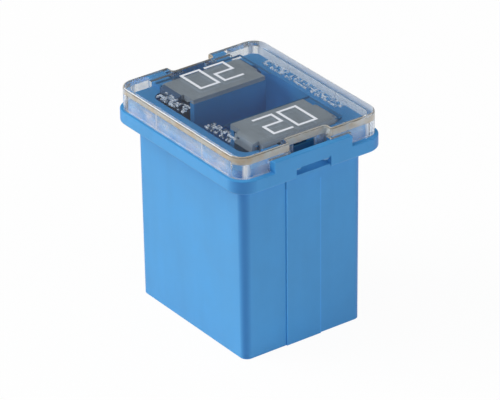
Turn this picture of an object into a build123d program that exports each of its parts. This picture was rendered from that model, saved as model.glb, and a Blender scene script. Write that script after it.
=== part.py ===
from build123d import *
from math import atan2, radians, tan
import os

# A female blade fuse stands on its moulded box, with X along its length, Y across it and Z up.
# Two male blades enter the box from below, and a clear lid closes it on top. Sizes are in millimetres.

# Blades that the fuse plugs onto
blade_thickness = 0.8
blade_width = 8.0
blade_pitch = 13.4

# Stamped strip: pads, terminal plates and blade contacts
sheet = 0.6
bend_radius = 0.45
terminal_width = 9.0
pad_gap = 6.4
pad_chamfer = 0.06
pad_wing_reach = 0.8
pad_wing_length = 3.0
pad_wing_drop = 1.3
pad_lid_gap = 0.05
contact_height = 8.2
contact_box_height = 3.4
contact_box_gap = 1.2
contact_tip_gap = 1.6
contact_pinch_height = 2.2
contact_bend = 0.6
contact_slit = 0.8
arm_bend = 1.2
arm_side_gap = 1.0
blade_side_gap = 0.1

# Fusible link, on edge between the two terminal plates, with its tin pellet
link_sheet = 0.4
link_height = 2.0
link_neck_height = 1.0
link_neck_length = 2.6
link_lift = 0.8
link_side_reach = 1.0
link_run = 2.9
link_waist = 1.5
link_dip = 4.2
link_bend = 0.5
pellet_length = 1.4
pellet_wall = 0.4
pellet_round = 0.25

# Steel spring clip round each contact
clip_sheet = 0.3
clip_wall_gap = 0.05
clip_height = 2.4
clip_leaf_width = 2.2
clip_leaf_spacing = 5.0
clip_slit = 2.4
clip_leaf_end = 0.5

# Moulded box
mouth_depth = 4.8
mouth_lead_in = 0.3
chamber_side_gap = 0.3
chamber_front_room = 1.1
divider_wall = 0.7
divider_gap = 0.5
cavity_step = 1.1
cavity_corner = 1.2
floor_thickness = 1.2
end_wall = 1.05
side_wall = 2.05
body_height = 20.0
body_corner = 0.8
wall_draft = 0.37
panel_proud = 0.12

# Collar, rim and end aprons of the box
collar_reach_end = 2.0
collar_reach_side = 1.8
collar_thickness = 1.5
collar_corner = 2.1
collar_round = 0.25
rim_height = 0.8
rim_pad_width = 7.66
rim_pad_gap = 0.04
apron_height = 1.2
apron_width = 9.6
apron_wall = 0.65
apron_round = 0.12
ledge_floor = 0.35
terminal_gap = 0.2
slot_width = 4.3
slot_height = 0.75
slot_recess = 0.12
slot_recess_margin = 0.2

# Clear lid
lid_inset_end = 0.5
lid_inset_side = 0.25
lid_corner = 1.75
lid_round = 0.2
plate_thickness = 0.9
skirt_height = 1.6
skirt_wall = 0.8
skirt_gap = 0.1
apron_gap = 0.25
pad_pocket_depth = 0.25
pad_pocket_gap = 0.05
lip_gap = 0.05
notch_width = 5.0
notch_depth = 1.0
notch_corner = 0.3
leg_spread = 2.9
leg_width = 1.25
leg_thickness = 0.45
leg_gap = 0.45
leg_floor_gap = 0.1
hook_side_gap = 0.1
hook_top_gap = 0.05
hook_tip = 0.2
hook_inset = 0.15

# Heights
contact_top = mouth_depth + contact_height
box_bottom = contact_top - contact_box_height
divider_top = contact_top + divider_gap
link_bottom = divider_top + link_lift
link_mid = link_bottom + link_height / 2
ledge_z = body_height + ledge_floor
collar_top = body_height + collar_thickness
rim_top = collar_top + rim_height
apron_top = collar_top + apron_height
lid_underside = collar_top + skirt_height
lid_top = lid_underside + plate_thickness
pad_pocket_top = lid_underside + pad_pocket_depth
pad_mid = pad_pocket_top - pad_lid_gap - sheet / 2
slot_top = ledge_z + slot_height

# Contact, clip and chamber, outward from the middle of the blade
plate_inner_x = blade_pitch / 2 + blade_thickness / 2
plate_outer_x = plate_inner_x + sheet
plate_mid_x = plate_inner_x + sheet / 2
arm_root_x = plate_inner_x - contact_box_gap - sheet / 2
arm_pinch_x = plate_inner_x - blade_thickness - sheet / 2
arm_tip_x = plate_inner_x - contact_tip_gap - sheet / 2
arm_knee_z = box_bottom - arm_bend / 6
arm_pinch_z = mouth_depth + contact_pinch_height
arm_lean = atan2(arm_pinch_x - arm_root_x, arm_knee_z - arm_pinch_z)
wing_mid_y = blade_width / 2 + blade_side_gap + sheet / 2
clip_offset = sheet / 2 + clip_sheet / 2
chamber_outer_x = plate_mid_x + clip_offset + clip_sheet / 2 + clip_wall_gap
chamber_inner_x = min(arm_root_x, arm_tip_x) - sheet / 2 - chamber_front_room
chamber_half_y = wing_mid_y + clip_offset + clip_sheet / 2 + chamber_side_gap
pocket_half_x = chamber_inner_x - divider_wall
cavity_half_y = chamber_half_y + cavity_step

# Outlines of the box, the collar and the lid
body_half_x = chamber_outer_x + end_wall
body_half_y = chamber_half_y + side_wall
collar_half_x = body_half_x + collar_reach_end
collar_half_y = body_half_y + collar_reach_side
lid_half_x = collar_half_x - lid_inset_end
lid_half_y = collar_half_y - lid_inset_side
skirt_inner_x = lid_half_x - skirt_wall
skirt_inner_y = lid_half_y - skirt_wall
rim_half_x = skirt_inner_x - skirt_gap
rim_half_y = skirt_inner_y - skirt_gap
apron_inner_x = collar_half_x - apron_wall

# Lid legs and the terminal behind them
leg_outer_x = lid_half_x - notch_depth
leg_inner_x = leg_outer_x - leg_thickness
leg_inner_y = leg_spread / 2
leg_outer_y = leg_inner_y + leg_width
terminal_outer_x = leg_inner_x - leg_gap
terminal_mid_x = terminal_outer_x - sheet / 2
terminal_half_y = terminal_width / 2
pad_wing_x = terminal_mid_x - bend_radius
pad_wing_half_y = terminal_half_y + pad_wing_reach
link_side_y = terminal_half_y + link_side_reach
link_dip_y = link_side_y - link_dip


def at_both_ends(x_from, x_to, half_y):
    """Draw one rectangle at each end of the current sketch."""
    with GridLocations(x_from + x_to, 0, 2, 1):
        Rectangle(x_to - x_from, 2 * half_y)


def slab(z_from, z_to, mode=Mode.ADD):
    """Raise the pending sketch, drawn at z_from, up to z_to."""
    extrude(amount=z_to - z_from, mode=mode)


# ---------------------------------------------------------------- moulded box

with BuildPart() as collar:
    with BuildSketch(Plane.XY.offset(body_height)):
        RectangleRounded(2 * collar_half_x, 2 * collar_half_y, collar_corner)
    slab(body_height, collar_top)
    fillet(collar.edges().group_by(Axis.Z)[0], collar_round)
    fillet(collar.edges().group_by(Axis.Z)[-1], collar_round / 2)

with BuildPart() as aprons:
    with BuildSketch(Plane.XY.offset(collar_top - collar_round)):
        at_both_ends(terminal_outer_x, collar_half_x, apron_width / 2)
    slab(collar_top - collar_round, apron_top)
    fillet(aprons.edges().group_by(Axis.Z)[-1], apron_round)

with BuildPart() as housing:
    # drafted box, with a proud panel down the middle of each end
    with BuildSketch():
        RectangleRounded(2 * body_half_x, 2 * body_half_y, body_corner)
    extrude(amount=body_height, taper=-wall_draft)
    with BuildSketch(Plane.XZ):
        with BuildLine():
            panel_x = body_half_x + panel_proud
            panel_spread = body_height * tan(radians(wall_draft))
            Polyline(
                (-panel_x, 0),
                (panel_x, 0),
                (panel_x + panel_spread, body_height),
                (-panel_x - panel_spread, body_height),
                close=True,
            )
        make_face()
    extrude(amount=slot_width / 2, both=True)

    # collar, end aprons and the rim that the lid's skirt slips over
    add(collar.part)
    add(aprons.part)
    with BuildSketch(Plane.XY.offset(collar_top)):
        RectangleRounded(2 * rim_half_x, 2 * rim_half_y, lid_corner - skirt_wall - skirt_gap)
        Rectangle(rim_pad_width, 2 * (skirt_inner_y - rim_pad_gap))
    slab(collar_top, rim_top)

    # hollow over the blade chambers, and the ledges for the terminals' shoulders
    with BuildSketch(Plane.XY.offset(divider_top)):
        RectangleRounded(2 * chamber_outer_x, 2 * cavity_half_y, cavity_corner)
    slab(divider_top, rim_top, Mode.SUBTRACT)
    with BuildSketch(Plane.XY.offset(ledge_z)):
        at_both_ends(pad_gap / 2, terminal_outer_x + terminal_gap, terminal_half_y + terminal_gap)
        at_both_ends(pad_gap / 2, apron_inner_x, leg_outer_y + terminal_gap)
    slab(ledge_z, apron_top, Mode.SUBTRACT)

    # dividers carried up between the chambers and the link, as seats for the test pads
    with BuildSketch(Plane.XY.offset(divider_top)):
        at_both_ends(pocket_half_x, chamber_inner_x, terminal_half_y)
    slab(divider_top, pad_mid - sheet / 2)

    # blade chambers, open below, and the closed pocket under the link
    with BuildSketch():
        at_both_ends(chamber_inner_x, chamber_outer_x, chamber_half_y)
    slab(0, divider_top, Mode.SUBTRACT)
    with BuildSketch(Plane.XY.offset(floor_thickness)):
        Rectangle(2 * pocket_half_x, 2 * cavity_half_y)
    slab(floor_thickness, divider_top, Mode.SUBTRACT)

    # snap slots through the aprons, in a shallow recess that runs down to the collar's underside
    with BuildSketch(Plane.XY.offset(body_height)):
        at_both_ends(collar_half_x - slot_recess, collar_half_x + slot_recess, slot_width / 2)
    slab(body_height, slot_top + slot_recess_margin, Mode.SUBTRACT)
    with BuildSketch(Plane.XY.offset(ledge_z)):
        at_both_ends(leg_outer_x, collar_half_x + slot_recess, slot_width / 2)
    slab(ledge_z, slot_top, Mode.SUBTRACT)

    # lead-in round the mouth of each blade chamber
    mouths = housing.faces().sort_by(Axis.Z)[0].inner_wires()
    chamfer([edge for mouth in mouths for edge in mouth.edges()], mouth_lead_in)
housing.part.label = "housing"

# ------------------------------------------------------------------ clear lid

with BuildPart() as lid:
    with BuildSketch(Plane.XY.offset(lid_underside)) as plate_outline:
        RectangleRounded(2 * lid_half_x, 2 * lid_half_y, lid_corner)
        with Locations((-lid_half_x, 0), (lid_half_x, 0)):
            Rectangle(2 * notch_depth, notch_width, mode=Mode.SUBTRACT)
        notch_points = plate_outline.vertices().filter_by_position(
            Axis.Y, -notch_width / 2 - 0.01, notch_width / 2 + 0.01
        )
        fillet(notch_points, notch_corner)
    slab(lid_underside, lid_top)
    fillet(lid.edges().group_by(Axis.Z)[-1], lid_round)

    # shallow pockets in the plate's underside, which the test pads rise into
    with BuildSketch(Plane.XY.offset(lid_underside)):
        at_both_ends(
            pad_gap / 2 - pad_pocket_gap, terminal_outer_x + pad_pocket_gap, pad_wing_half_y + pad_pocket_gap
        )
    slab(lid_underside, pad_pocket_top, Mode.SUBTRACT)

    # skirt, cut away over the aprons and at the notches
    with BuildSketch(Plane.XY.offset(collar_top)):
        RectangleRounded(2 * lid_half_x, 2 * lid_half_y, lid_corner)
        RectangleRounded(2 * skirt_inner_x, 2 * skirt_inner_y, lid_corner - skirt_wall, mode=Mode.SUBTRACT)
        Rectangle(2 * lid_half_x, notch_width, mode=Mode.SUBTRACT)
    slab(collar_top, lid_underside)
    with BuildSketch(Plane.XY.offset(collar_top)):
        Rectangle(2 * lid_half_x, apron_width + 2 * apron_gap)
    slab(collar_top, apron_top + lip_gap, Mode.SUBTRACT)

    # two legs at each end, with a hook that catches under the top of the snap slot
    leg_bottom = ledge_z + leg_floor_gap
    with BuildSketch(Plane.XY.offset(leg_bottom)):
        with GridLocations(leg_inner_x + leg_outer_x, leg_inner_y + leg_outer_y, 2, 2):
            Rectangle(leg_thickness, leg_width)
    slab(leg_bottom, lid_underside)
    hook_x = collar_half_x - slot_recess - hook_inset
    hook_top = slot_top - hook_top_gap
    hook_width = slot_width / 2 - hook_side_gap - leg_inner_y
    for hook_y in (leg_inner_y, -leg_inner_y - hook_width):
        with BuildSketch(Plane.XZ.offset(-hook_y)):
            with BuildLine():
                Polyline(
                    (leg_outer_x, leg_bottom),
                    (hook_x, hook_top - hook_tip),
                    (hook_x, hook_top),
                    (leg_outer_x, hook_top),
                    close=True,
                )
            make_face()
            mirror(about=Plane.YZ)
        extrude(amount=-hook_width)
lid.part.label = "lid"

# --------------------------------------------------------------- fuse element

with BuildPart() as fuse_element:
    # terminal plate, shoulder on the ledge, riser and test pad, folded from one strip
    with BuildSketch(Plane.XZ):
        with BuildLine():
            shoulder_z = ledge_z + sheet / 2
            jog = terminal_mid_x - plate_mid_x
            FilletPolyline(
                (plate_mid_x, contact_top),
                (plate_mid_x, shoulder_z),
                (terminal_mid_x, shoulder_z),
                (terminal_mid_x, pad_mid),
                (pad_gap / 2, pad_mid),
                radius=min(bend_radius, 0.49 * jog),
            )
        trace(line_width=sheet)
    extrude(amount=terminal_half_y, both=True)
    pad_top = fuse_element.faces().filter_by(Axis.Z).sort_by(Axis.Z)[-1]
    chamfer(pad_top.edges().sort_by(Axis.X)[0], pad_chamfer)

    # wings beside the pad, folded down along both of its edges to stiffen it
    with BuildSketch(Plane.YZ.offset(pad_wing_x - pad_wing_length)):
        with BuildLine():
            wing_fold_y = pad_wing_half_y - sheet / 2
            wing_bottom = pad_mid + sheet / 2 - pad_wing_drop
            FilletPolyline(
                (-wing_fold_y, wing_bottom),
                (-wing_fold_y, pad_mid),
                (wing_fold_y, pad_mid),
                (wing_fold_y, wing_bottom),
                radius=bend_radius,
            )
        trace(line_width=sheet)
    extrude(amount=pad_wing_length)

    # opening in the riser, which leaves room for the lid's legs
    with BuildSketch(Plane.XY.offset(ledge_z + sheet)):
        with Locations((terminal_mid_x, 0)):
            Rectangle(2 * sheet, 2 * (leg_outer_y + terminal_gap / 2))
    slab(ledge_z + sheet, pad_mid - sheet / 2, Mode.SUBTRACT)

    # narrower plate of the female contact, and the box folded round from it, with a slit in front
    with BuildSketch(Plane.XY.offset(mouth_depth)):
        with Locations((plate_mid_x, 0)):
            Rectangle(sheet, 2 * (wing_mid_y - contact_bend))
    slab(mouth_depth, contact_top)
    with BuildSketch(Plane.XY.offset(box_bottom)):
        with BuildLine():
            FilletPolyline(
                (arm_root_x, contact_slit / 2),
                (arm_root_x, wing_mid_y),
                (plate_mid_x, wing_mid_y),
                (plate_mid_x, -wing_mid_y),
                (arm_root_x, -wing_mid_y),
                (arm_root_x, -contact_slit / 2),
                radius=contact_bend,
            )
        trace(line_width=sheet)
    slab(box_bottom, contact_top)

    # two spring arms, bowed in to pinch the blade and flared at the mouth
    arm_width = wing_mid_y - arm_side_gap + sheet / 2 - contact_slit / 2
    for arm_y in (contact_slit / 2, -contact_slit / 2 - arm_width):
        with BuildSketch(Plane.XZ.offset(-arm_y)):
            with BuildLine():
                FilletPolyline(
                    (arm_root_x, contact_top),
                    (arm_root_x, arm_knee_z),
                    (arm_pinch_x, arm_pinch_z),
                    (arm_tip_x, mouth_depth),
                    radius=arm_bend,
                )
            trace(line_width=sheet)
        extrude(amount=-arm_width)

    # half of the fusible link: it leaves the plate's edge, runs along and dips towards the middle
    with BuildSketch(Plane.XY.offset(link_bottom)):
        with BuildLine():
            FilletPolyline(
                (plate_mid_x, sheet - terminal_half_y),
                (plate_mid_x, -link_side_y),
                (link_run, -link_side_y),
                (link_waist, -link_dip_y),
                (0, -link_dip_y),
                radius=link_bend,
            )
        trace(line_width=link_sheet)
    slab(link_bottom, link_bottom + link_height)
    neck_cut = (link_height - link_neck_height) / 2
    for cut_bottom in (link_bottom, link_mid + link_neck_height / 2):
        with BuildSketch(Plane.XY.offset(cut_bottom)):
            with Locations((0, -link_dip_y)):
                Rectangle(link_neck_length, 2 * link_sheet)
        slab(cut_bottom, cut_bottom + neck_cut, Mode.SUBTRACT)
    mirror(about=Plane.YZ)
fuse_element.part.label = "fuse_element"

# ----------------------------------------------------------------- tin pellet

with BuildPart() as tin_pellet:
    pellet_bottom = link_mid - link_neck_height / 2 - pellet_wall
    pellet_height = link_neck_height + 2 * pellet_wall
    with BuildSketch(Plane.XY.offset(pellet_bottom)):
        with Locations((0, -link_dip_y)):
            Rectangle(pellet_length, link_sheet + 2 * pellet_wall)
    slab(pellet_bottom, pellet_bottom + pellet_height)
    fillet(tin_pellet.edges().filter_by(Axis.X), pellet_round)
    with BuildSketch(Plane.XY.offset(pellet_bottom + pellet_wall)):
        with Locations((0, -link_dip_y)):
            Rectangle(pellet_length, link_sheet)
    slab(pellet_bottom + pellet_wall, pellet_bottom + pellet_wall + link_neck_height, Mode.SUBTRACT)
tin_pellet.part.label = "tin_pellet"

# --------------------------------------------------------------- spring clips

with BuildPart() as right_spring_clip:
    # steel band round the contact's box, open in front
    clip_bottom = box_bottom + (contact_box_height - clip_height) / 2
    clip_front_x = arm_root_x - clip_offset
    with BuildSketch(Plane.XY.offset(clip_bottom)):
        with BuildLine():
            clip_side_y = wing_mid_y + clip_offset
            FilletPolyline(
                (clip_front_x, clip_slit / 2),
                (clip_front_x, clip_side_y),
                (plate_mid_x + clip_offset, clip_side_y),
                (plate_mid_x + clip_offset, -clip_side_y),
                (clip_front_x, -clip_side_y),
                (clip_front_x, -clip_slit / 2),
                radius=contact_bend + clip_offset,
            )
        trace(line_width=clip_sheet)
    slab(clip_bottom, clip_bottom + clip_height)

    # two leaves that press on the contact's arms
    leaf_knee_z = arm_knee_z - clip_offset * tan(arm_lean / 2)
    leaf_end_z = arm_pinch_z + clip_leaf_end
    leaf_end_x = clip_front_x + (leaf_knee_z - leaf_end_z) * tan(arm_lean)
    for leaf_y in (clip_leaf_spacing / 2, -clip_leaf_spacing / 2):
        with BuildSketch(Plane.XZ.offset(-leaf_y)):
            with BuildLine():
                FilletPolyline(
                    (clip_front_x, clip_bottom + clip_height),
                    (clip_front_x, leaf_knee_z),
                    (leaf_end_x, leaf_end_z),
                    radius=arm_bend + clip_offset,
                )
            trace(line_width=clip_sheet)
        extrude(amount=clip_leaf_width / 2, both=True)
right_spring_clip.part.label = "right_spring_clip"

with BuildPart() as left_spring_clip:
    mirror(right_spring_clip.part, about=Plane.YZ)
left_spring_clip.part.label = "left_spring_clip"

os.makedirs("parts", exist_ok=True)
export_step(housing.part, "parts/housing.step")
export_step(lid.part, "parts/lid.step")
export_step(fuse_element.part, "parts/fuse_element.step")
export_step(tin_pellet.part, "parts/tin_pellet.step")
export_step(right_spring_clip.part, "parts/right_spring_clip.step")
export_step(left_spring_clip.part, "parts/left_spring_clip.step")
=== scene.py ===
import math

import bmesh
import bpy
from mathutils import Matrix, Vector


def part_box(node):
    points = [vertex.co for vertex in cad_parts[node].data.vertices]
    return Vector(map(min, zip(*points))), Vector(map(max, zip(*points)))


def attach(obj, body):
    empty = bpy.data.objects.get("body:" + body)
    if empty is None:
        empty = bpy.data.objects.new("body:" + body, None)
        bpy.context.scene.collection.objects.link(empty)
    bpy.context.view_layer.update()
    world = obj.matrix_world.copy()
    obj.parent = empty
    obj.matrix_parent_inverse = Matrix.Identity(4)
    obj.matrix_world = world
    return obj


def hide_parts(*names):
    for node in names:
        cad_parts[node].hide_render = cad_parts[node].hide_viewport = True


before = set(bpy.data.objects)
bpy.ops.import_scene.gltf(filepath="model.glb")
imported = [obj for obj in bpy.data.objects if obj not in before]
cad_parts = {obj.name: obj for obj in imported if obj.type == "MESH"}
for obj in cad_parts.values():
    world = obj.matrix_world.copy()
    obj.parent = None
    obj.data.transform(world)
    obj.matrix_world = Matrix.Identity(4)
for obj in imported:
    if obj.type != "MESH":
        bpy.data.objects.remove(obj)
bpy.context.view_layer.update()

bl_info = {
    "name": "Female Blade Fuse",
    "version": (1, 0, 0),
    "blender": (4, 5, 0),
    "location": "3D View > Sidebar > Fuse",
    "description": "Finishes a moulded box fuse with its clear lid, printed rating and test pads",
    "category": "Object",
}

X, Y, Z = 0, 1, 2
MM = 0.001
HAIR = 0.01 * MM

# the lid: a plate with a skirt that sits on the box's collar, and shallow pockets over the test pads
LID_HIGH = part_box("lid")[1]
PLATE_THICKNESS = 0.9 * MM
SKIRT_HEIGHT = 1.6 * MM
SKIRT_WALL = 0.8 * MM
LID_CORNER = 2.3 * MM
LID_END = 1.5 * MM
PLATE_UNDERSIDE = LID_HIGH.z - PLATE_THICKNESS
COLLAR_TOP = PLATE_UNDERSIDE - SKIRT_HEIGHT
POCKET_REACH_X, POCKET_REACH_Y = 9 * MM, 6 * MM
POCKET_DEPTH = 0.3 * MM
SKIRT_LIFT = 0.05 * MM
SHARP_ANGLE = math.radians(50)
WELD = 0.002 * MM

# the box: a proud panel down each end, and a snap slot in each end of the collar
BOX_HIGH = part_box("housing")[1]
END_START = 6 * MM
PANEL_TOP = BOX_HIGH.z - 4.6 * MM
PANEL_EDGE_INNER, PANEL_EDGE_OUTER = 2.05 * MM, 2.28 * MM
SLOT_LOW, SLOT_HIGH = COLLAR_TOP - 1.2 * MM, COLLAR_TOP - 0.35 * MM
SLOT_REACH = 2.2 * MM
SLOT_SKIN = 0.15 * MM

# the link chamber's far wall and the painted glow in it, and the sides of the test pads, beyond which the
# metal by the far pad is painted in shadow
CHAMBER_LOW, CHAMBER_HIGH = COLLAR_TOP - 5 * MM, COLLAR_TOP + 0.75 * MM
WALL_NEAR, WALL_FAR = 5.8 * MM, 6.6 * MM
CHAMBER_REACH = 7 * MM
GLOW_START, GLOW_FADE = 0.8 * MM, 4 * MM
PAD_SIDE = 4.75 * MM

# ribs in the lid's skirt, painted pale, and the box's stops between the lid's legs, painted in shade,
# measured from the lid
RIB_FOOT = 0.1 * MM
STOP_OUTER, STOP_INNER = 1.75 * MM, 2.08 * MM
STOP_REACH = 2.6 * MM
STOP_HEAD, STOP_FOOT = 0.7 * MM, 2.75 * MM
STOP_SHADE = 0.35

# groups of moulded pips: name, middle, columns, rows and seed
PIP_GROUPS = (
    ("left_pips", (-4.1 * MM, -6.2 * MM), 13, 4, 3),
    ("right_pips", (4.1 * MM, -6.2 * MM), 12, 4, 8),
    ("far_pips", (0.4 * MM, 6.6 * MM), 36, 3, 5),
)
MISSING_PIPS = 0.22
CROSSWAYS_PIPS, CROSSWAYS_SEED = 0.45, 7

# the stage: the floor, the blade openings over it, the softboxes (name, place, size, power and colour), and
# the camera, with its angles in degrees and its distances in metres
FLOOR_REACH = 3.0
FLOOR_GLOW = 0.96
OPENINGS_REACH_X, OPENINGS_REACH_Y = 8.2 * MM, 5.4 * MM
SOFTBOXES = (
    ("key_softbox", (-0.31, -0.36, 0.30), (0.40, 0.30), 2.9, (1.0, 1.0, 0.96)),
    ("fill_softbox", (0.45, 0.29, 0.16), (0.30, 0.30), 1.0, (0.94, 1.0, 1.08)),
    ("top_softbox", (0.02, -0.16, 0.53), (0.30, 0.30), 0.8, (1.0, 1.0, 1.0)),
)
LAMP_AIM = (0, 0, 0.012)
MIRRORED_SHARE = 0.15
ROOM_MIRRORED, ROOM_LIGHTING = 0.09, 0.25
CAMERA_AZIMUTH, CAMERA_ELEVATION, CAMERA_ROLL = 54.28, 28.37, -0.81
CAMERA_DISTANCE, CAMERA_AIM, CAMERA_SHIFT = 0.421512, 0.012204, 0.00006
CAMERA_LENS = 296.6

# colours that several finishes share
FULL = (1.0, 1.0, 1.0)
NONE = (0.0, 0.0, 0.0)
BRIGHT = (0.98, 0.98, 1.0)


# ------------------------------------------------------------------ properties


class FuseColours(bpy.types.PropertyGroup):
    """Colours of the moulded plastic, the clear lid, the metals and the ink."""

    plastic: bpy.props.FloatVectorProperty(
        name="Box plastic", description="Colour of the moulded box", subtype="COLOR", size=3,
        default=(0.066, 0.325, 0.685), min=0, max=1,
    )
    lid: bpy.props.FloatVectorProperty(
        name="Clear lid", description="Tint of the clear lid", subtype="COLOR", size=3,
        default=(0.93, 0.95, 0.96), min=0, max=1,
    )
    tin_plate: bpy.props.FloatVectorProperty(
        name="Tin plate", description="Colour of the plated strip", subtype="COLOR", size=3,
        default=(0.56, 0.60, 0.64), min=0, max=1,
    )
    steel: bpy.props.FloatVectorProperty(
        name="Spring steel", description="Colour of the spring clips", subtype="COLOR", size=3,
        default=(0.42, 0.42, 0.43), min=0, max=1,
    )
    ink: bpy.props.FloatVectorProperty(
        name="Ink", description="Colour of the printed rating", subtype="COLOR", size=3,
        default=(0.80, 0.83, 0.90), min=0, max=1,
    )


class FuseMarks(bpy.types.PropertyGroup):
    """Sizes of the printed rating, the moulded pips and ribs, and the lid's rounded edges."""

    digit_height: bpy.props.FloatProperty(
        name="Digit height", description="Height of a printed digit", unit="LENGTH", default=3.5 * MM,
    )
    digit_width: bpy.props.FloatProperty(
        name="Digit width", description="Width of a printed digit", unit="LENGTH", default=2.2 * MM,
    )
    digit_gap: bpy.props.FloatProperty(
        name="Digit gap", description="Clear space between the two digits", unit="LENGTH", default=0.8 * MM,
    )
    digit_stroke: bpy.props.FloatProperty(
        name="Stroke", description="Width of a printed stroke", unit="LENGTH", default=0.3 * MM,
    )
    digit_reach: bpy.props.FloatProperty(
        name="Digit reach", description="From the lid's middle to the middle of a rating", unit="LENGTH",
        default=6.25 * MM,
    )
    ink_film: bpy.props.FloatProperty(
        name="Ink film", description="Thickness of the ink", unit="LENGTH", default=0.02 * MM,
    )
    pip_spacing: bpy.props.FloatProperty(
        name="Pip spacing", description="From one moulded pip to the next", unit="LENGTH", default=0.36 * MM,
    )
    pip_length: bpy.props.FloatProperty(
        name="Pip length", description="Length of a moulded pip", unit="LENGTH", default=0.30 * MM,
    )
    pip_width: bpy.props.FloatProperty(
        name="Pip width", description="Width of a moulded pip", unit="LENGTH", default=0.15 * MM,
    )
    pip_drop: bpy.props.FloatProperty(
        name="Pip drop", description="How far a pip stands out under the lid's plate", unit="LENGTH",
        default=0.12 * MM,
    )
    rib_place: bpy.props.FloatProperty(
        name="Rib place", description="From the lid's middle to a rib in its skirt", unit="LENGTH",
        default=3.95 * MM,
    )
    rib_width: bpy.props.FloatProperty(
        name="Rib width", description="Width of a rib in the skirt", unit="LENGTH", default=0.2 * MM,
    )
    rib_depth: bpy.props.FloatProperty(
        name="Rib depth", description="How far a rib stands out from the skirt", unit="LENGTH",
        default=0.08 * MM,
    )
    lid_edge: bpy.props.FloatProperty(
        name="Lid edge", description="Rounding of the lid's sharp edges", unit="LENGTH", default=0.05 * MM,
    )


# ------------------------------------------------------------- shader language


class Field:
    """A value that varies over a surface. It wraps a shader socket, so that sums read as sums."""

    def __init__(self, finish, socket):
        self.finish = finish
        self.socket = socket

    def _math(self, operation, first, second):
        return self.finish.node("ShaderNodeMath", {"operation": operation}, {0: first, 1: second})

    def __add__(self, other):
        return self._math("ADD", self, other)

    def __radd__(self, other):
        return self._math("ADD", other, self)

    def __sub__(self, other):
        return self._math("SUBTRACT", self, other)

    def __rsub__(self, other):
        return self._math("SUBTRACT", other, self)

    def __mul__(self, other):
        return self._math("MULTIPLY", self, other)

    def __rmul__(self, other):
        return self._math("MULTIPLY", other, self)

    def __truediv__(self, other):
        return self._math("DIVIDE", self, other)

    def __abs__(self):
        return self._math("ABSOLUTE", self, 0.0)

    def clamp(self):
        """The same value, held between 0 and 1."""
        return self.finish.node("ShaderNodeClamp", {}, {"Value": self})


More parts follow.
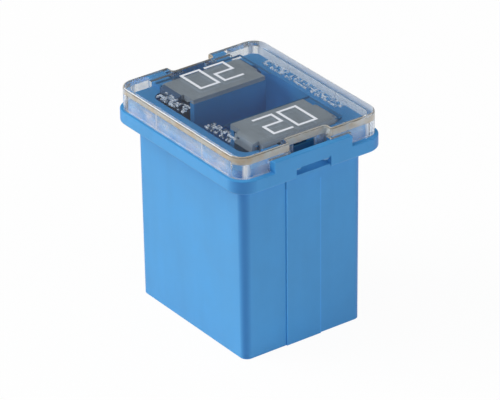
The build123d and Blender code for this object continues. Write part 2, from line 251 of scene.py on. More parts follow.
class Finish:
    """One material, or the world, and the nodes that make it."""

    def __init__(self, name, world=None):
        self.material = world or bpy.data.materials.new(name)
        self.material.use_nodes = True
        self.tree = self.material.node_tree
        self.tree.nodes.clear()
        self.end = "ShaderNodeOutputWorld" if world else "ShaderNodeOutputMaterial"

    def node(self, kind, settings=None, inputs=None, out=0):
        """Adds one node: settings first, a ramp's stops among them, then its values or links."""
        made = self.tree.nodes.new(kind)
        for key, value in (settings or {}).items():
            if key == "stops":
                ramp = made.color_ramp
                while len(ramp.elements) < len(value):
                    ramp.elements.new(0.5)
                for element, (place, colour) in zip(ramp.elements, value):
                    element.position = place
                    element.color = (*colour, 1)
            else:
                setattr(made, key, value)
        for key, value in (inputs or {}).items():
            socket = made.inputs[key]
            if isinstance(value, Field):
                self.tree.links.new(value.socket, socket)
            else:
                socket.default_value = value
        return Field(self, made.outputs[out]) if made.outputs else made

    def place(self):
        """Object coordinates, in metres."""
        return self.node("ShaderNodeTexCoord", out="Object")

    def part(self, vector, axis):
        """One part of a vector."""
        return self.node("ShaderNodeSeparateXYZ", {}, {0: vector}, out=axis)

    def along(self, axis):
        """Distance along an axis, in metres, from the fuse's middle or from the floor."""
        return self.part(self.place(), axis)

    def over(self, value, limit):
        """1 where a value is over a limit, 0 elsewhere."""
        return self.node("ShaderNodeMath", {"operation": "GREATER_THAN"}, {0: value, 1: limit})

    def under(self, value, limit):
        """1 where a value is under a limit, 0 elsewhere."""
        return self.node("ShaderNodeMath", {"operation": "LESS_THAN"}, {0: value, 1: limit})

    def above(self, level):
        """1 above a level, 0 below it."""
        return self.over(self.along(Z), level)

    def below(self, level):
        """1 below a level, 0 above it."""
        return self.under(self.along(Z), level)

    def within(self, axis, reach):
        """1 nearer than a distance to the middle, 0 beyond it, measured along an axis."""
        return self.under(abs(self.along(axis)), reach)

    def beyond(self, axis, reach):
        """1 further than a distance from the middle, 0 nearer, measured along an axis."""
        return self.over(abs(self.along(axis)), reach)

    def far_side(self):
        """1 on the fuse's far side, 0 on its near side."""
        return self.over(self.along(Y), 0.0)

    def facing_up(self):
        """How far a face lies flat, from 0 for an upright wall to 1 for a floor."""
        return abs(self.part(self.node("ShaderNodeNewGeometry", out="True Normal"), Z))

    def ray(self, kind):
        """What is known of the ray of light, such as 1 for a shadow ray."""
        return self.node("ShaderNodeLightPath", out=kind)

    def stretched(self, scale):
        """Object coordinates stretched for a pattern."""
        return self.node("ShaderNodeMapping", {}, {"Vector": self.place(), "Scale": scale})

    def noise(self, scale, detail, roughness, vector=None):
        """A soft random value from 0 to 1, over object coordinates or a stretched copy of them."""
        return self.node(
            "ShaderNodeTexNoise", {},
            {"Vector": vector or self.place(), "Scale": scale, "Detail": detail, "Roughness": roughness},
        )

    def blots(self, scale):
        """Noise with harder edges, from 0 to 1."""
        return ((self.noise(scale, 2.0, 0.6) - 0.5) * 3 + 0.5).clamp()

    def specks(self, scale, low, high):
        """Noise cut to specks: 0 up to a low value of it, 1 from a high one."""
        stops = [(low, NONE), (high, FULL)]
        return self.node("ShaderNodeValToRGB", {"stops": stops}, {"Fac": self.noise(scale, 1.0, 0.5)})

    def blend(self, factor, first, second):
        """A colour between two colours."""
        values = {"Factor": factor, 6: self.rgba(first), 7: self.rgba(second)}
        return self.node("ShaderNodeMix", {"data_type": "RGBA"}, values, out=2)

    def rgba(self, colour):
        """A colour with its alpha, or the field as it is."""
        return colour if isinstance(colour, Field) else (*colour[:3], 1.0)

    def bump(self, height, strength, distance, normal=None):
        """A normal tilted by a height field."""
        inputs = {"Height": height, "Strength": strength, "Distance": distance}
        if normal is not None:
            inputs["Normal"] = normal
        return self.node("ShaderNodeBump", {}, inputs)

    def plastic(self, values):
        """A shader for a solid surface, with its sockets' values."""
        return self.node("ShaderNodeBsdfPrincipled", {}, values)

    def dull(self, colour):
        """A shader for a matt surface."""
        return self.node("ShaderNodeBsdfDiffuse", {}, {"Color": self.rgba(colour)})

    def see_through(self, colour):
        """A shader that lets light straight through and tints it."""
        return self.node("ShaderNodeBsdfTransparent", {}, {"Color": self.rgba(colour)})

    def mix(self, factor, first, second):
        """The first shader where the factor is 0, the second where it is 1."""
        return self.node("ShaderNodeMixShader", {}, {0: factor, 1: first, 2: second})

    def close(self, shader):
        """Sends a shader to the output and hands the material or the world over."""
        self.node(self.end, {"is_active_output": True}, {"Surface": shader})
        return self.material


def tinted(colour, factor):
    """A colour made lighter or darker, by one factor or by one for each of its parts."""
    factors = factor if isinstance(factor, tuple) else (factor,) * 3
    return tuple(min(1.0, part * scale) for part, scale in zip(colour, factors))


# -------------------------------------------------------------------- finishes


def moulded_plastic(name, colour):
    """Semi-gloss moulded plastic: faint flow clouds, a fine spark-eroded texture and duller patches, with
    painted shade in rounded corners, painted light in the snap slots and on the end panels' edges, and a
    painted glow in the link chamber.
    """
    f = Finish(name)
    cloud = f.noise(160.0, 3.0, 0.55)
    flow = f.noise(1.0, 3.0, 0.6, f.stretched((420.0, 420.0, 60.0)))
    grain = f.noise(5200.0, 2.0, 0.6)
    wave = f.noise(260.0, 1.0, 0.5)
    tone = (cloud * 0.6 + flow * 0.4 - 0.32) * 2.4
    shade = f.blend(tone.clamp(), tinted(colour, 0.93), tinted(colour, 1.07))
    # painted shade: rounded upright corners are darkened, where the light from the two sides falls off
    turn = f.node("ShaderNodeNewGeometry", out="Normal")
    corner = abs(f.part(turn, X) * f.part(turn, Y)) * 2
    shade = f.blend(corner, shade, tinted(colour, (0.5, 0.68, 0.83)))
    # painted light: the inside of the snap slots, which lies in shade, is painted lighter, and a painted
    # highlight line runs down the edges of the end panels
    at_end = f.beyond(X, END_START)
    slot = f.within(Y, SLOT_REACH) * f.above(SLOT_LOW) * f.below(SLOT_HIGH)
    slot = slot * at_end * f.within(X, BOX_HIGH.x - SLOT_SKIN)
    shade = f.blend(slot, shade, tinted(colour, (1.5, 1.3, 1.25)))
    edge = f.beyond(Y, PANEL_EDGE_INNER) * f.within(Y, PANEL_EDGE_OUTER) * at_end * f.below(PANEL_TOP)
    shade = f.node("ShaderNodeVectorMath", {"operation": "SCALE"}, {0: shade, "Scale": 1 + 0.18 * edge})
    # painted glow: the far wall of the link chamber gives off a faint blue light, standing in for light
    # through the plastic, most of it where the test pad shades the wall
    wall = f.above(CHAMBER_LOW) * f.below(CHAMBER_HIGH)
    wall = wall * f.over(f.along(Y), WALL_NEAR) * f.within(Y, WALL_FAR)
    glow = wall * ((GLOW_START - f.along(X)) / GLOW_FADE).clamp() * f.within(X, CHAMBER_REACH)
    shader = f.plastic({
        "Base Color": shade, "Roughness": 0.36 + 0.16 * cloud + 0.05 * grain, "IOR": 1.5,
        "Specular IOR Level": 0.42, "Normal": f.bump(wave, 0.10, 0.25 * MM, f.bump(grain, 0.10, 0.02 * MM)),
        "Emission Color": f.blend(glow, NONE, (0.006, 0.048, 0.15)), "Emission Strength": 1.0,
    })
    return f.close(shader)


def plated_metal(name, colour):
    """Rolled and tin-plated strip: long rolling streaks, dull clouds and small dark specks, with a painted
    shadow beside the far test pad.
    """
    f = Finish(name)
    streak = f.noise(1.0, 3.0, 0.6, f.stretched((500.0, 5200.0, 5200.0)))
    cloud = f.noise(420.0, 3.0, 0.6)
    tone = (streak * 0.5 + cloud * 0.5 - 0.25) * 2.0
    shade = f.blend(tone.clamp(), tinted(colour, 0.78), tinted(colour, 1.12))
    shade = f.blend(f.specks(2600.0, 0.70, 0.80) * 0.35, shade, tinted(colour, 0.5))
    # painted shadow: beyond the far test pad's sides, down in the box, the metal is painted a dark blue, as
    # if in shade
    painted_shadow = f.beyond(Y, PAD_SIDE) * (1 - f.over(f.along(X), 0.0))
    shade = f.blend(painted_shadow * 0.85, shade, (0.05, 0.14, 0.30))
    shader = f.plastic({
        "Base Color": shade, "Metallic": 0.4, "Roughness": 0.56 + 0.2 * cloud,
        "Normal": f.bump(streak, 0.18, 0.02 * MM),
    })
    return f.close(shader)


class ClearLid(Finish):
    """The lid's clear plastic, with further looks laid over parts of it one after another."""

    # where the painted warm edge light starts over the plate's underside, and where it ends under the lid's
    # top
    SIDE_EDGE_START, END_EDGE_START, EDGE_END = 0.3 * MM, 0.04 * MM, 0.04 * MM
    LIP = 0.06 * MM
    FAR_WALL = 0.3 * MM
    SEAT_BAND = 0.1 * MM
    STREAK_WIDTH = 0.45 * MM
    POCKET_WALL = 0.26 * MM

    def __init__(self, name, tint):
        super().__init__(name)
        self.upright = 1 - self.facing_up()
        self.at_end = 1 - self.within(X, LID_HIGH.x - LID_END)
        self.skirt = self.below(PLATE_UNDERSIDE - HAIR) * self.upright
        self.inside = self.node("ShaderNodeNewGeometry", out="Backfacing")
        self.flow = self.noise(150.0, 2.0, 0.5)
        self.scuff = self.noise(700.0, 3.0, 0.65)
        self.pale = self.dull((0.95, 0.95, 0.97))
        fine = self.noise(1800.0, 2.0, 0.6)
        self.normal = self.bump(fine, 0.02, 0.02 * MM, self.bump(self.flow, 0.12, 0.2 * MM))
        self.shader = self.plastic({
            "Base Color": self.rgba(tint), "Roughness": 0.02 + 0.03 * fine + 0.10 * self.upright, "IOR": 1.58,
            "Transmission Weight": 1.0, "Normal": self.normal,
        })

    def lay(self, share, shader):
        """Lays another look over the ones before it, by a share or a mask."""
        self.shader = self.mix(share, self.shader, shader)

    def painted_edge_light(self):
        """Painted light: the plate's upright edges are painted a warm tan to grey, standing in for light seen
        through them, and its thin rounded lip gets a painted highlight, warm at the ends and pale at the
        sides.
        """
        tan, grey = (0.52, 0.41, 0.28), (0.52, 0.53, 0.50)
        tone = self.blend(self.blots(700.0), tan, grey)
        warm = self.plastic({"Base Color": tone, "Roughness": 0.3, "Normal": self.normal})
        edge = self.above(PLATE_UNDERSIDE + self.SIDE_EDGE_START)
        edge = (edge + self.at_end * self.above(PLATE_UNDERSIDE + self.END_EDGE_START)).clamp()
        edge = edge * self.upright * self.below(LID_HIGH.z - self.EDGE_END)
        self.lay(edge * (0.62 + 0.25 * self.flow), warm)
        lip = self.above(LID_HIGH.z - self.LIP) * self.over(self.upright, 0.02)
        self.lay(lip * self.at_end * 0.8, warm)
        self.lay(lip * (1 - self.at_end) * 0.7, self.pale)

    def far_walls(self):
        """Painted light: the inner faces of the far walls are painted pale, standing in for the light they
        gather.
        """
        gather = self.inside * self.upright * self.beyond(Y, LID_HIGH.y - self.FAR_WALL) * self.far_side()
        self.lay(gather * 0.9, self.pale)

    def seat(self):
        """A trace of haze everywhere, and a scuffed seat on the box's collar."""
        seat = self.below(COLLAR_TOP + self.SEAT_BAND) * self.above(COLLAR_TOP - self.SEAT_BAND)
        seat = seat * (0.05 + 0.5 * self.facing_up() * self.scuff)
        self.lay(0.008 + seat, self.dull((0.80, 0.85, 0.9)))

    def snap_legs(self):
        """Painted light: the clear legs are painted a blue a little lighter than the box that they stand in,
        standing in for the lit box seen through them.
        """
        self.lay(self.below(COLLAR_TOP - self.SEAT_BAND) * 0.75, self.dull((0.16, 0.44, 0.78)))

    def mottled_skirt(self):
        """Painted milky patches on the skirt, in hues that stand in for what is seen through it: rosy and
        blue on the near side, bright on the far side; and a painted highlight streak down each corner.
        """
        rosy, blue = (0.95, 0.74, 0.62), (0.46, 0.70, 0.97)
        hue = self.blend(self.far_side(), self.blend(self.blots(520.0), rosy, blue), BRIGHT)
        painted_milk = self.plastic({"Base Color": hue, "Roughness": 0.9, "Specular IOR Level": 0.0})
        corner = 1 - self.within(X, LID_HIGH.x - LID_CORNER)
        corner = corner * (1 - self.within(Y, LID_HIGH.y - LID_CORNER))
        patches = (0.8 * self.scuff - 0.26).clamp()
        self.lay(self.skirt * (1 - 0.9 * corner) * (1 - 0.5 * self.at_end) * patches, painted_milk)
        # painted highlight: a pale streak down each corner of the skirt
        off = abs(abs(self.along(Y)) - abs(self.along(X)) + (LID_HIGH.x + self.STREAK_WIDTH - LID_HIGH.y))
        streak = (1 - off / self.STREAK_WIDTH).clamp() * corner * self.skirt
        self.lay(streak * 0.85, self.pale)

    def pocket_walls(self):
        """The low walls of the pockets over the test pads: seen from outside, they are painted the shaded
        blue of the box behind them, so that they don't show; seen from inside, they let light through.
        """
        wall = self.above(PLATE_UNDERSIDE - HAIR) * self.below(PLATE_UNDERSIDE + self.POCKET_WALL)
        wall = wall * self.upright * self.within(X, POCKET_REACH_X) * self.within(Y, POCKET_REACH_Y)
        wall = self.over(wall, 0.5)
        self.lay(wall, self.mix(self.inside, self.dull((0.08, 0.24, 0.46)), self.see_through(FULL)))

    def light_paths(self):
        """Light that has been mirrored to and fro comes out warm, and light for shadows passes through."""
        self.lay(self.over(self.ray("Glossy Depth"), 2.5), self.see_through((0.80, 0.75, 0.66)))
        soft = (self.ray("Is Shadow Ray") + self.ray("Is Diffuse Ray")).clamp()
        plate, skirt = self.see_through((0.80, 0.83, 0.86)), self.see_through((0.92, 0.94, 0.96))
        self.lay(soft, self.mix(self.below(PLATE_UNDERSIDE - HAIR), plate, skirt))


def clear_plastic(name, tint):
    """Clear moulded plastic with a scuffed seat, painted light on its edges, far walls, legs and mottled
    skirt, and painted shade on its pocket walls.
    """
    lid = ClearLid(name, tint)
    lid.painted_edge_light()
    lid.far_walls()
    lid.seat()
    lid.snap_legs()
    lid.mottled_skirt()
    lid.pocket_walls()
    lid.light_paths()
    return lid.close(lid.shader)


def glinting_pips(name):
    """Small moulded pips, half clear, with painted glints in bright glossy specks and painted shade between
    them, bluer on the far side.
    """
    f = Finish(name)
    grain = f.noise(2500.0, 2.0, 0.6)
    low = f.blend(f.far_side(), (0.10, 0.13, 0.18), (0.16, 0.38, 0.62))
    body = f.plastic({
        "Base Color": f.blend(f.specks(1900.0, 0.42, 0.56), low, BRIGHT), "Roughness": 0.12,
        "Specular IOR Level": 0.9, "Normal": f.bump(grain, 0.4, 0.05 * MM),
    })
    share = (0.25 + 0.3 * grain + f.ray("Is Shadow Ray")).clamp()
    return f.close(f.mix(share, body, f.see_through((0.9, 0.93, 0.96))))


def pale_edge(name):
    """Half-clear pale finish for thin ribs seen through the skirt: the pale is painted light on ribs of the
    clear lid.
    """
    f = Finish(name)
    grain = f.noise(1400.0, 2.0, 0.6)
    body = f.plastic({"Base Color": f.blend(grain, (0.75, 0.80, 0.92), BRIGHT), "Roughness": 0.4})
    return f.close(f.mix(0.5 + 0.3 * grain, body, f.see_through(FULL)))


def printing_ink(name, colour):
    """Pale screen ink, a little uneven and satin, with a thin shadow."""
    f = Finish(name)
    patch = f.noise(1500.0, 3.0, 0.6)
    shader = f.plastic({
        "Base Color": f.blend(patch, tinted(colour, 0.94), tinted(colour, 1.04)),
        "Roughness": 0.45 + 0.15 * patch, "Normal": f.bump(patch, 0.1, 0.02 * MM),
    })
    return f.close(f.mix(f.ray("Is Shadow Ray") * 0.8, shader, f.see_through(FULL)))


# ----------------------------------------------------------------------- tools


def dress(node, material):
    """Gives a CAD piece one finish."""
    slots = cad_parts[node].data.materials
    slots.clear()
    slots.append(material)


def piece(name, mesh, material):
    """Adds a finished mesh to the scene and lets it ride on the fuse."""
    made = bpy.data.objects.new(name, mesh)
    bpy.context.scene.collection.objects.link(made)
    mesh.materials.clear()
    mesh.materials.append(material)
    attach(made, "root")
    return made


def plain_mesh(carrier):
    """Turns an object with live modifiers into a plain mesh and removes the object."""
    graph = bpy.context.evaluated_depsgraph_get()
    data = bpy.data.meshes.new_from_object(carrier.evaluated_get(graph))
    carrier.modifiers.clear()
    bpy.data.objects.remove(carrier)
    return data


def pip_tree():
    """Geometry Nodes: a grid of small bars, some left out, and nearly half of the rest turned crossways."""
    tree = bpy.data.node_groups.new("moulded_pips", "GeometryNodeTree")
    sockets = (
        ("Columns", "NodeSocketInt", 8),
        ("Rows", "NodeSocketInt", 2),
        ("Spacing", "NodeSocketFloat", 0.4 * MM),
        ("Pip Size", "NodeSocketVector", (0.3 * MM, 0.15 * MM, 0.24 * MM)),
        ("Middle", "NodeSocketVector", (0, 0, 0)),
        ("Missing", "NodeSocketFloat", 0.2),
        ("Seed", "NodeSocketInt", 1),
        ("Finish", "NodeSocketMaterial", None),
    )
    for name, kind, value in sockets:
        made = tree.interface.new_socket(name, in_out="INPUT", socket_type=kind)
        if value is not None:
            made.default_value = value
    tree.interface.new_socket("Geometry", in_out="OUTPUT", socket_type="NodeSocketGeometry")
    given = tree.nodes.new("NodeGroupInput").outputs

    def node(kind, links, out=0, **settings):
        made = tree.nodes.new(kind)
        for key, value in settings.items():
            setattr(made, key, value)
        for key, value in links.items():
            if isinstance(value, bpy.types.NodeSocket):
                tree.links.new(value, made.inputs[key])
            else:
                made.inputs[key].default_value = value
        return made.outputs[out]

    def maths(operation, first, second):
        return node("ShaderNodeMath", {0: first, 1: second}, operation=operation)

    length = maths("MULTIPLY", maths("SUBTRACT", given["Columns"], 1), given["Spacing"])
    depth = maths("MULTIPLY", maths("SUBTRACT", given["Rows"], 1), given["Spacing"])
    grid = node("GeometryNodeMeshGrid", {0: length, 1: depth, 2: given["Columns"], 3: given["Rows"]})
    points = node("GeometryNodeMeshToPoints", {"Mesh": grid})
    missing = node(
        "FunctionNodeRandomValue", {"Probability": given["Missing"], "Seed": given["Seed"]}, out=3,
        data_type="BOOLEAN",
    )
    points = node("GeometryNodeDeleteGeometry", {"Geometry": points, "Selection": missing}, domain="POINT")
    pip = node("GeometryNodeMeshCube", {"Size": given["Pip Size"]})
    second_seed = maths("ADD", given["Seed"], CROSSWAYS_SEED)
    crossways = node(
        "FunctionNodeRandomValue", {"Probability": CROSSWAYS_PIPS, "Seed": second_seed}, out=3,
        data_type="BOOLEAN",
    )
    turn = node("ShaderNodeCombineXYZ", {"Z": maths("MULTIPLY", crossways, math.pi / 2)})
    placed = node("GeometryNodeInstanceOnPoints", {"Points": points, "Instance": pip, "Rotation": turn})
    moved = node("GeometryNodeTransform", {"Geometry": placed, "Translation": given["Middle"]})
    solid = node("GeometryNodeRealizeInstances", {"Geometry": moved})
    dressed = node("GeometryNodeSetMaterial", {"Geometry": solid, "Material": given["Finish"]})
    end = tree.nodes.new("NodeGroupOutput")
    tree.links.new(dressed, end.inputs[0])
    return tree


def stroke_path(points, closed, width, levels, mesh, turn):
    """Lays a flat square-cornered stroke of ink along points on the lid, between two levels."""
    count = len(points)
    left, right = [], []
    for i, point in enumerate(points):
        before = points[(i - 1) % count] if closed or i > 0 else None
        after = points[(i + 1) % count] if closed or i < count - 1 else None
        into = (point - before).normalized() if before is not None else (after - point).normalized()
        out = (after - point).normalized() if after is not None else into
        side_in, side_out = Vector((-into.y, into.x)), Vector((-out.y, out.x))
        side = (side_in + side_out) / (1 + side_in.dot(side_out)) * width / 2
        end = Vector((0, 0))
        if before is None:
            end = -into * width / 2
        if after is None:
            end = out * width / 2
        left.append(point + side + end)
        right.append(point - side + end)
    rings = []
    for a, b in zip(left, right):
        rings.append([mesh.verts.new(turn @ Vector((p.x, p.y, z))) for p, z in
                      ((a, levels[0]), (b, levels[0]), (b, levels[1]), (a, levels[1]))])
    pairs = list(zip(rings, rings[1:]))
    if closed:
        pairs.append((rings[-1], rings[0]))
    for first, second in pairs:
        for k in range(4):
            mesh.faces.new((first[k], first[(k + 1) % 4], second[(k + 1) % 4], second[k]))
    if not closed:
        mesh.faces.new(list(reversed(rings[0])))
        mesh.faces.new(rings[-1])


def block(mesh, low, high):
    """Adds a closed block between two corners."""
    made = bmesh.ops.create_cube(mesh, size=1.0)["verts"]
    for vert in made:
        vert.co = Vector(low[k] if vert.co[k] < 0 else high[k] for k in range(3))


def finished(mesh, name):
    """Turns worked mesh data into a named mesh, with its faces outwards."""
    bmesh.ops.recalc_face_normals(mesh, faces=mesh.faces)
    data = bpy.data.meshes.new(name)
    mesh.to_mesh(data)
    mesh.free()
    return data


def lay_floor(scene):
    """Lays a pale floor, which is bright where it is seen and keeps the fuse's shadow."""
    mesh = bpy.data.meshes.new("floor")
    reach = FLOOR_REACH
    corners = [(-reach, -reach, 0), (reach, -reach, 0), (reach, reach, 0), (-reach, reach, 0)]
    mesh.from_pydata(corners, [], [(0, 1, 2, 3)])
    floor = bpy.data.objects.new("floor", mesh)
    scene.collection.objects.link(floor)
    f = Finish("pale_floor")
    seen = (f.ray("Is Camera Ray") + f.ray("Is Glossy Ray") + f.ray("Is Transmission Ray")).clamp()
    # seen down through the blade openings, the floor is in the dark
    seen = seen * (1 - f.within(X, OPENINGS_REACH_X) * f.within(Y, OPENINGS_REACH_Y))
    bright = f.node("ShaderNodeEmission", {}, {"Color": f.rgba(FULL), "Strength": 1.0})
    mesh.materials.append(f.close(f.mix(seen * FLOOR_GLOW, f.dull((0.86, 0.86, 0.86)), bright)))


def set_room(scene):
    """Sets a white room: full strength where it is seen, softer where it lights, and dim where mirrored."""
    world = bpy.data.worlds.new("studio")
    world.use_nodes = True
    scene.world = world
    f = Finish("studio", world)
    mirrored, lighting, backdrop = (
        f.node("ShaderNodeBackground", {}, {"Color": f.rgba(FULL), "Strength": strength})
        for strength in (ROOM_MIRRORED, ROOM_LIGHTING, 1.0)
    )
    unseen = f.mix(f.ray("Is Diffuse Ray"), mirrored, lighting)
    f.close(f.mix(f.ray("Is Camera Ray"), unseen, backdrop))


def softbox(scene, name, place, size, power, colour):
    """Sets a soft lamp as two in one place. The lid mirrors only the weak one, which hides nothing below."""
    for part, share, mirrored in (("_soft", 1 - MIRRORED_SHARE, False), ("_mirrored", MIRRORED_SHARE, True)):
        lamp = bpy.data.lights.new(name + part, "AREA")
        lamp.shape = "RECTANGLE"
        lamp.size, lamp.size_y = size
        lamp.energy = power * share
        lamp.color = colour
        made = bpy.data.objects.new(name + part, lamp)
        made.location = place
        made.rotation_mode = "QUATERNION"
        made.rotation_quaternion = (Vector(LAMP_AIM) - Vector(place)).to_track_quat("-Z", "Y")
        made.visible_glossy = made.visible_transmission = mirrored
        scene.collection.objects.link(made)


def set_camera(scene):
    """Sets the camera over a corner of the box, turned a little about its own line of sight."""
    camera = bpy.data.cameras.new("camera")
    camera.sensor_width = 36.0
    camera.lens = CAMERA_LENS
    camera.clip_start, camera.clip_end = 0.01, 10.0
    made = bpy.data.objects.new("camera", camera)
    az, el, roll = (math.radians(angle) for angle in (CAMERA_AZIMUTH, CAMERA_ELEVATION, CAMERA_ROLL))
    back = Vector((math.sin(az) * math.cos(el), -math.cos(az) * math.cos(el), math.sin(el)))
    right = Vector((math.cos(az), math.sin(az), 0))
    up = back.cross(right)
    across = right * math.cos(roll) + up * math.sin(roll)
    upright = up * math.cos(roll) - right * math.sin(roll)
    made.rotation_mode = "QUATERNION"
    made.rotation_quaternion = Matrix((across, upright, back)).transposed().to_quaternion()
    made.location = right * CAMERA_SHIFT + Vector((0, 0, CAMERA_AIM)) + back * CAMERA_DISTANCE
    scene.collection.objects.link(made)
    scene.camera = made


# ------------------------------------------------------------------- operators


class FUSE_OT_finish_box(bpy.types.Operator):
    """Give the moulded box its blue plastic"""

    bl_idname = "fuse.finish_box"
    bl_label = "Finish Box"

    def execute(self, context):
        colours = context.scene.fuse_colours
        dress("housing", moulded_plastic("box_plastic", tuple(colours.plastic)))
        return {"FINISHED"}


class FUSE_OT_finish_metal(bpy.types.Operator):
    """Give the fuse strip, its pellet and the spring clips their metals"""

    bl_idname = "fuse.finish_metal"
    bl_label = "Finish Metal"

    def execute(self, context):
        colours = context.scene.fuse_colours
        dress("fuse_element", plated_metal("tin_plate", tuple(colours.tin_plate)))
        dress("tin_pellet", plated_metal("cast_tin", tinted(colours.tin_plate, 1.1)))
        steel = plated_metal("spring_steel", tuple(colours.steel))
        dress("right_spring_clip", steel)
        dress("left_spring_clip", steel)
        return {"FINISHED"}


class FUSE_OT_finish_lid(bpy.types.Operator):
    """Make the lid clear"""

    bl_idname = "fuse.finish_lid"
    bl_label = "Finish Lid"

    def execute(self, context):
        mesh = bmesh.new()
        mesh.from_mesh(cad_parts["lid"].data)
        bmesh.ops.remove_doubles(mesh, verts=mesh.verts, dist=WELD)
        # the skirt stands a little clear of the collar, so that light can reach under it
        for vert in mesh.verts:
            if abs(vert.co.z - COLLAR_TOP) < HAIR:
                vert.co.z += SKIRT_LIFT
        # sharp edges are rounded, but not those of the pockets over the test pads
        weight = mesh.edges.layers.float.new("bevel_weight_edge")
        for line in mesh.edges:
            middle = (line.verts[0].co + line.verts[1].co) / 2
            over_pad = abs(middle.y) < POCKET_REACH_Y and abs(middle.x) < POCKET_REACH_X
            in_pocket = abs(middle.z - PLATE_UNDERSIDE) < POCKET_DEPTH and over_pad
            sharp = line.is_manifold and line.calc_face_angle() > SHARP_ANGLE
            line[weight] = float(sharp and not in_pocket)
        data = bpy.data.meshes.new("clear_lid")
        mesh.to_mesh(data)
        mesh.free()
        rough = bpy.data.objects.new("sharp_lid", data)
        context.scene.collection.objects.link(rough)
        bevel = rough.modifiers.new("edges", "BEVEL")
        bevel.width, bevel.segments, bevel.limit_method = context.scene.fuse_marks.lid_edge, 2, "WEIGHT"
        finish = clear_plastic("clear_lid", tuple(context.scene.fuse_colours.lid))
        lid = piece("clear_lid", plain_mesh(rough), finish)
        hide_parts("lid")
        return {"FINISHED"}


class FUSE_OT_mould_pips(bpy.types.Operator):
    """Set the groups of small moulded pips under the lid's plate"""

    bl_idname = "fuse.mould_pips"
    bl_label = "Mould Pips"

    def execute(self, context):
        marks = context.scene.fuse_marks
        tree = pip_tree()
        finish = glinting_pips("glinting_pips")
        for name, middle, columns, rows, seed in PIP_GROUPS:
            carrier = bpy.data.objects.new(name + "_carrier", bpy.data.meshes.new(name + "_carrier"))
            context.scene.collection.objects.link(carrier)
            maker = carrier.modifiers.new("pips", "NODES")
            maker.node_group = tree
            values = {
                "Columns": columns, "Rows": rows, "Spacing": marks.pip_spacing, "Seed": seed,
                "Missing": MISSING_PIPS,
                "Pip Size": (marks.pip_length, marks.pip_width, 2 * marks.pip_drop),
                "Middle": (*middle, PLATE_UNDERSIDE), "Finish": finish,
            }
            for item in tree.interface.items_tree:
                if item.item_type == "SOCKET" and item.in_out == "INPUT" and item.name in values:
                    maker[item.identifier] = values[item.name]
            piece(name, plain_mesh(carrier), finish)
        return {"FINISHED"}


class FUSE_OT_add_ribs(bpy.types.Operator):
    """Add the thin ribs inside the lid's skirt and the housing's stops between the lid's legs"""

    bl_idname = "fuse.add_ribs"
    bl_label = "Add Ribs"

    def execute(self, context):
        marks = context.scene.fuse_marks
        wide, deep = marks.rib_width, marks.rib_depth
        wall = LID_HIGH.y - SKIRT_WALL
        mesh = bmesh.new()
        for end, side in ((-1, -1), (1, -1), (-1, 1), (1, 1)):
            middle, root = end * marks.rib_place, side * wall
            block(mesh, (middle - wide / 2, root - deep * (side > 0), COLLAR_TOP + RIB_FOOT),
                  (middle + wide / 2, root + deep * (side < 0), PLATE_UNDERSIDE))
        piece("skirt_ribs", finished(mesh, "skirt_ribs"), pale_edge("pale_ribs"))

        mesh = bmesh.new()
        for end in (-1, 1):
            low, high = sorted((end * (LID_HIGH.x - STOP_OUTER), end * (LID_HIGH.x - STOP_INNER)))
            foot, head = PLATE_UNDERSIDE - STOP_FOOT, PLATE_UNDERSIDE - STOP_HEAD
            block(mesh, (low, -STOP_REACH, foot), (high, STOP_REACH, head))
        # painted shade: the stops take a darker copy of the box plastic, as they stand in shade in the window
        # behind the lid's legs
        plastic = moulded_plastic("shaded_plastic", tinted(context.scene.fuse_colours.plastic, STOP_SHADE))
        piece("leg_stops", finished(mesh, "leg_stops"), plastic)
        return {"FINISHED"}


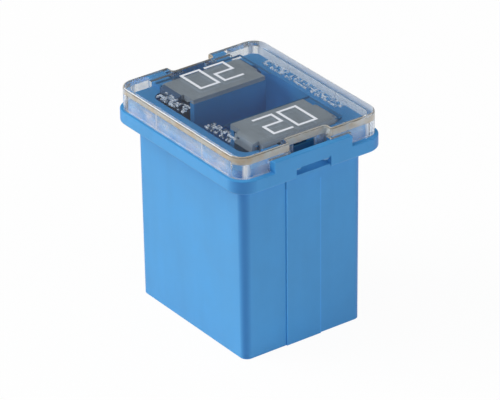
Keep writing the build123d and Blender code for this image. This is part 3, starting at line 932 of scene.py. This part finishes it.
class FUSE_OT_print_rating(bpy.types.Operator):
    """Print the rating at both ends of the lid, each to be read from its own end"""

    bl_idname = "fuse.print_rating"
    bl_label = "Print Rating"

    def execute(self, context):
        marks = context.scene.fuse_marks
        h, w, gap = marks.digit_height, marks.digit_width, marks.digit_gap
        # x runs from a digit's top to its foot, y from left to right
        two = [(0, 0), (0, w), (h / 2, w), (h / 2, 0), (h, 0), (h, w)]
        nought = [(0, 0), (0, w), (h, w), (h, 0)]
        levels = (LID_HIGH.z, LID_HIGH.z + marks.ink_film)
        mesh = bmesh.new()
        for turn in (Matrix.Identity(4), Matrix.Rotation(math.pi, 4, "Z")):
            for digit, closed, left in ((two, False, -w - gap / 2), (nought, True, gap / 2)):
                start = Vector((marks.digit_reach - h / 2, left))
                points = [start + Vector(point) for point in digit]
                stroke_path(points, closed, marks.digit_stroke, levels, mesh, turn)
        ink = printing_ink("pale_ink", tuple(context.scene.fuse_colours.ink))
        piece("printed_rating", finished(mesh, "printed_rating"), ink)
        return {"FINISHED"}


class FUSE_OT_stage(bpy.types.Operator):
    """Set the fuse on a pale floor under soft studio light"""

    bl_idname = "fuse.stage"
    bl_label = "Stage"

    def execute(self, context):
        context.scene.view_settings.view_transform = "Standard"
        lay_floor(context.scene)
        set_room(context.scene)
        for name, place, size, power, colour in SOFTBOXES:
            softbox(context.scene, name, place, size, power, colour)
        set_camera(context.scene)
        return {"FINISHED"}


class FUSE_PT_panel(bpy.types.Panel):
    """Lists the steps that finish the fuse"""

    bl_label = "Female Blade Fuse"
    bl_idname = "FUSE_PT_panel"
    bl_space_type = "VIEW_3D"
    bl_region_type = "UI"
    bl_category = "Fuse"

    def draw(self, context):
        for group in (context.scene.fuse_colours, context.scene.fuse_marks):
            for key in group.bl_rna.properties.keys():
                if key not in ("rna_type", "name"):
                    self.layout.prop(group, key)
        for step in STEPS:
            self.layout.operator(step.bl_idname)


STEPS = (
    FUSE_OT_finish_box, FUSE_OT_finish_metal, FUSE_OT_finish_lid, FUSE_OT_mould_pips, FUSE_OT_add_ribs,
    FUSE_OT_print_rating, FUSE_OT_stage,
)
CLASSES = (FuseColours, FuseMarks, *STEPS, FUSE_PT_panel)


def register():
    """Registers the classes and gives the scene its colours and marks."""
    for cls in CLASSES:
        bpy.utils.register_class(cls)
    bpy.types.Scene.fuse_colours = bpy.props.PointerProperty(type=FuseColours)
    bpy.types.Scene.fuse_marks = bpy.props.PointerProperty(type=FuseMarks)


def unregister():
    """Takes back what register gave."""
    del bpy.types.Scene.fuse_marks
    del bpy.types.Scene.fuse_colours
    for cls in reversed(CLASSES):
        bpy.utils.unregister_class(cls)


def main():
    """Finishes the fuse step by step."""
    register()
    bpy.ops.fuse.finish_box()
    bpy.ops.fuse.finish_metal()
    bpy.ops.fuse.finish_lid()
    bpy.ops.fuse.mould_pips()
    bpy.ops.fuse.add_ribs()
    bpy.ops.fuse.print_rating()
    bpy.ops.fuse.stage()
    bpy.context.view_layer.update()


if __name__ == "__main__":
    main()
